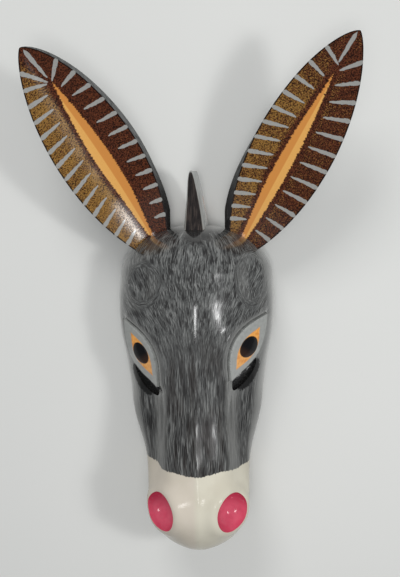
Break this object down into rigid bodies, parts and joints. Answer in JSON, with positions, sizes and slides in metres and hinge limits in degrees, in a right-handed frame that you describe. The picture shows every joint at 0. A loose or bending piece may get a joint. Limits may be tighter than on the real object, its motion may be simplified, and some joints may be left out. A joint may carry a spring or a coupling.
{
  "type": "donkey mask",
  "caption": "Carved wooden donkey face mask with tall grooved ears, a forelock and flared nostrils, hollow and open at the back.",
  "frame": {"origin": "middle of the mask's outline, on the plane of the flat back rim that it lies on", "axes": "+Z out of the face, +Y towards the ear tips, +X to the right of a person who looks at the face"},
  "size_m": [0.339, 0.5284, 0.1319],
  "materials": {
    "painted_head": "dry-brushed grey and cream paint under gloss lacquer",
    "painted_ear": "stippled brown paint with grey strokes and an ochre groove, gloss lacquer",
    "painted_forelock": "streaked black-brown paint, gloss lacquer"
  },
  "bodies": {
    "root": {"head": "painted_head", "left_ear": "painted_ear", "right_ear": "painted_ear", "forelock": "painted_forelock"}
  },
  "joints": []
}
